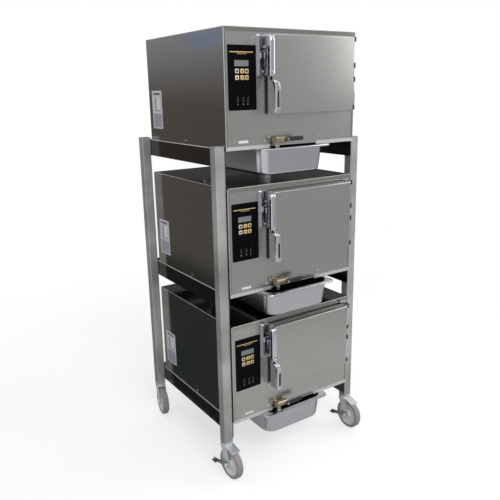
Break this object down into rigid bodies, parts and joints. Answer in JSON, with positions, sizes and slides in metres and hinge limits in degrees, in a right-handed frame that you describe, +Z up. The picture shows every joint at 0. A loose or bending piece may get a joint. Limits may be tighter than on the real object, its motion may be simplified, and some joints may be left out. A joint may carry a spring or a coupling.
{
  "type": "convection steamer stack",
  "caption": "Stack of countertop convection steamers in a wheeled stand, with side-hinged doors, drain valves and drip pans that slide out below.",
  "frame": {"origin": "on the floor under the middle of the whole stack", "axes": "+Z up, -Y out of the doors, +X to the right as seen from the front"},
  "size_m": [0.7003, 0.7404, 1.706],
  "materials": {
    "cabinet_steel": "brushed sheet",
    "liner_steel": "satin sheet",
    "stand_steel": "ground square tube and angle",
    "pan_steel": "deep-drawn bright sheet",
    "hardware_chrome": "plated castings",
    "bright_zinc": "zinc-plated pressing",
    "cast_aluminium": "as cast",
    "valve_brass": "machined",
    "black_plastic": "moulded",
    "overlay_print": "printed film",
    "display_lens": "clear lens over a grey display",
    "circuit_board": "glass-fibre laminate",
    "mineral_wool": "fibre mat",
    "seal_rubber": "extruded",
    "tyre_rubber": "moulded grey rubber",
    "hub_nylon": "moulded",
    "pedal_steel": "black coated steel"
  },
  "bodies": {
    "stand_and_cabinets": {"cabinet_wrapper": "cabinet_steel", "front_panel": "cabinet_steel", "rear_panel": "cabinet_steel", "base_pan": "cabinet_steel", "cooking_cavity": "liner_steel", "cavity_insulation": "mineral_wool", "heat_plate": "cast_aluminium", "pan_racks": "liner_steel", "control_overlay": "overlay_print", "display_window": "display_lens", "control_electronics": "circuit_board", "latch_strike": "hardware_chrome", "cabinet_hinges": "hardware_chrome", "drain_valve": "valve_brass", "drain_pipe": "liner_steel", "cable_gland": "black_plastic", "panel_screws": "hardware_chrome", "pan_hangers": "cabinet_steel", "stand_posts": "stand_steel", "post_caps": "stand_steel", "stand_rails": "stand_steel", "caster_stems": "bright_zinc"},
    "door_lower": {"door_shell_lower": "cabinet_steel", "door_liner_lower": "liner_steel", "door_gasket_lower": "seal_rubber", "door_hinge_leaf_lower": "hardware_chrome", "latch_body_lower": "hardware_chrome"},
    "handle_lower": {"latch_handle_lower": "hardware_chrome"},
    "lever_lower": {"drain_lever_lower": "black_plastic"},
    "pan_lower": {"drip_pan_lower": "pan_steel"},
    "door_middle": {"door_shell_middle": "cabinet_steel", "door_liner_middle": "liner_steel", "door_gasket_middle": "seal_rubber", "door_hinge_leaf_middle": "hardware_chrome", "latch_body_middle": "hardware_chrome"},
    "handle_middle": {"latch_handle_middle": "hardware_chrome"},
    "lever_middle": {"drain_lever_middle": "black_plastic"},
    "pan_middle": {"drip_pan_middle": "pan_steel"},
    "door_upper": {"door_shell_upper": "cabinet_steel", "door_liner_upper": "liner_steel", "door_gasket_upper": "seal_rubber", "door_hinge_leaf_upper": "hardware_chrome", "latch_body_upper": "hardware_chrome"},
    "handle_upper": {"latch_handle_upper": "hardware_chrome"},
    "lever_upper": {"drain_lever_upper": "black_plastic"},
    "pan_upper": {"drip_pan_upper": "pan_steel"},
    "fork_fl": {"caster_fork_fl": "bright_zinc"},
    "wheel_fl": {"wheel_hub_fl": "hub_nylon", "tyre_fl": "tyre_rubber"},
    "pedal_fl": {"brake_pedal_fl": "pedal_steel"},
    "fork_fr": {"caster_fork_fr": "bright_zinc"},
    "wheel_fr": {"wheel_hub_fr": "hub_nylon", "tyre_fr": "tyre_rubber"},
    "pedal_fr": {"brake_pedal_fr": "pedal_steel"},
    "fork_rl": {"caster_fork_rl": "bright_zinc"},
    "wheel_rl": {"wheel_hub_rl": "hub_nylon", "tyre_rl": "tyre_rubber"},
    "fork_rr": {"caster_fork_rr": "bright_zinc"},
    "wheel_rr": {"wheel_hub_rr": "hub_nylon", "tyre_rr": "tyre_rubber"}
  },
  "joints": [
    {"name": "door_swing_lower", "type": "hinge", "parent": "stand_and_cabinets", "child": "door_lower", "pos_m": [0.266, -0.32, 0.4805], "axis": [0, 0, 1], "range_deg": [0, 135]},
    {"name": "handle_pull_lower", "type": "hinge", "parent": "door_lower", "child": "handle_lower", "pos_m": [-0.137, -0.337, 0.484], "axis": [-1, 0, 0], "range_deg": [0, 30], "stiffness_Nm_per_rad": 1.5},
    {"name": "drain_lever_turn_lower", "type": "hinge", "parent": "stand_and_cabinets", "child": "lever_lower", "pos_m": [-0.0575, -0.3277, 0.258], "axis": [0, -1, 0], "range_deg": [0, 90]},
    {"name": "pan_slide_lower", "type": "slide", "parent": "stand_and_cabinets", "child": "pan_lower", "axis": [0, -1, 0], "range_m": [-0.006, 0.344]},
    {"name": "door_swing_middle", "type": "hinge", "parent": "stand_and_cabinets", "child": "door_middle", "pos_m": [0.266, -0.32, 1.0075], "axis": [0, 0, 1], "range_deg": [0, 135]},
    {"name": "handle_pull_middle", "type": "hinge", "parent": "door_middle", "child": "handle_middle", "pos_m": [-0.137, -0.337, 1.011], "axis": [-1, 0, 0], "range_deg": [0, 30], "stiffness_Nm_per_rad": 1.5},
    {"name": "drain_lever_turn_middle", "type": "hinge", "parent": "stand_and_cabinets", "child": "lever_middle", "pos_m": [-0.0575, -0.3277, 0.785], "axis": [0, -1, 0], "range_deg": [0, 90]},
    {"name": "pan_slide_middle", "type": "slide", "parent": "stand_and_cabinets", "child": "pan_middle", "axis": [0, -1, 0], "range_m": [-0.036, 0.314]},
    {"name": "door_swing_upper", "type": "hinge", "parent": "stand_and_cabinets", "child": "door_upper", "pos_m": [0.266, -0.32, 1.5495], "axis": [0, 0, 1], "range_deg": [0, 135]},
    {"name": "handle_pull_upper", "type": "hinge", "parent": "door_upper", "child": "handle_upper", "pos_m": [-0.137, -0.337, 1.553], "axis": [-1, 0, 0], "range_deg": [0, 30], "stiffness_Nm_per_rad": 1.5},
    {"name": "drain_lever_turn_upper", "type": "hinge", "parent": "stand_and_cabinets", "child": "lever_upper", "pos_m": [-0.0575, -0.3277, 1.327], "axis": [0, -1, 0], "range_deg": [0, 90]},
    {"name": "pan_slide_upper", "type": "slide", "parent": "stand_and_cabinets", "child": "pan_upper", "axis": [0, -1, 0], "range_m": [0, 0.35]},
    {"name": "caster_swivel_fl", "type": "hinge", "parent": "stand_and_cabinets", "child": "fork_fl", "pos_m": [-0.318, -0.2675, 0.138], "axis": [0, 0, 1], "continuous": true},
    {"name": "wheel_spin_fl", "type": "hinge", "parent": "fork_fl", "child": "wheel_fl", "pos_m": [-0.31591, -0.29743, 0.0635], "axis": [0.9976, 0.0698, 0], "continuous": true},
    {"name": "brake_press_fl", "type": "hinge", "parent": "fork_fl", "child": "pedal_fl", "pos_m": [-0.31591, -0.29743, 0.0635], "axis": [-0.9976, -0.0698, 0], "range_deg": [0, 15], "stiffness_Nm_per_rad": 1},
    {"name": "caster_swivel_fr", "type": "hinge", "parent": "stand_and_cabinets", "child": "fork_fr", "pos_m": [0.318, -0.2675, 0.138], "axis": [0, 0, 1], "continuous": true},
    {"name": "wheel_spin_fr", "type": "hinge", "parent": "fork_fr", "child": "wheel_fr", "pos_m": [0.31905, -0.29748, 0.0635], "axis": [0.9994, 0.0349, 0], "continuous": true},
    {"name": "brake_press_fr", "type": "hinge", "parent": "fork_fr", "child": "pedal_fr", "pos_m": [0.31905, -0.29748, 0.0635], "axis": [-0.9994, -0.0349, 0], "range_deg": [0, 15], "stiffness_Nm_per_rad": 1},
    {"name": "caster_swivel_rl", "type": "hinge", "parent": "stand_and_cabinets", "child": "fork_rl", "pos_m": [-0.318, 0.34, 0.138], "axis": [0, 0, 1], "continuous": true},
    {"name": "wheel_spin_rl", "type": "hinge", "parent": "fork_rl", "child": "wheel_rl", "pos_m": [-0.32321, 0.31046, 0.0635], "axis": [0.9848, -0.1736, 0], "continuous": true},
    {"name": "caster_swivel_rr", "type": "hinge", "parent": "stand_and_cabinets", "child": "fork_rr", "pos_m": [0.318, 0.34, 0.138], "axis": [0, 0, 1], "continuous": true},
    {"name": "wheel_spin_rr", "type": "hinge", "parent": "fork_rr", "child": "wheel_rr", "pos_m": [0.31176, 0.31066, 0.0635], "axis": [0.9781, -0.2079, 0], "continuous": true}
  ]
}
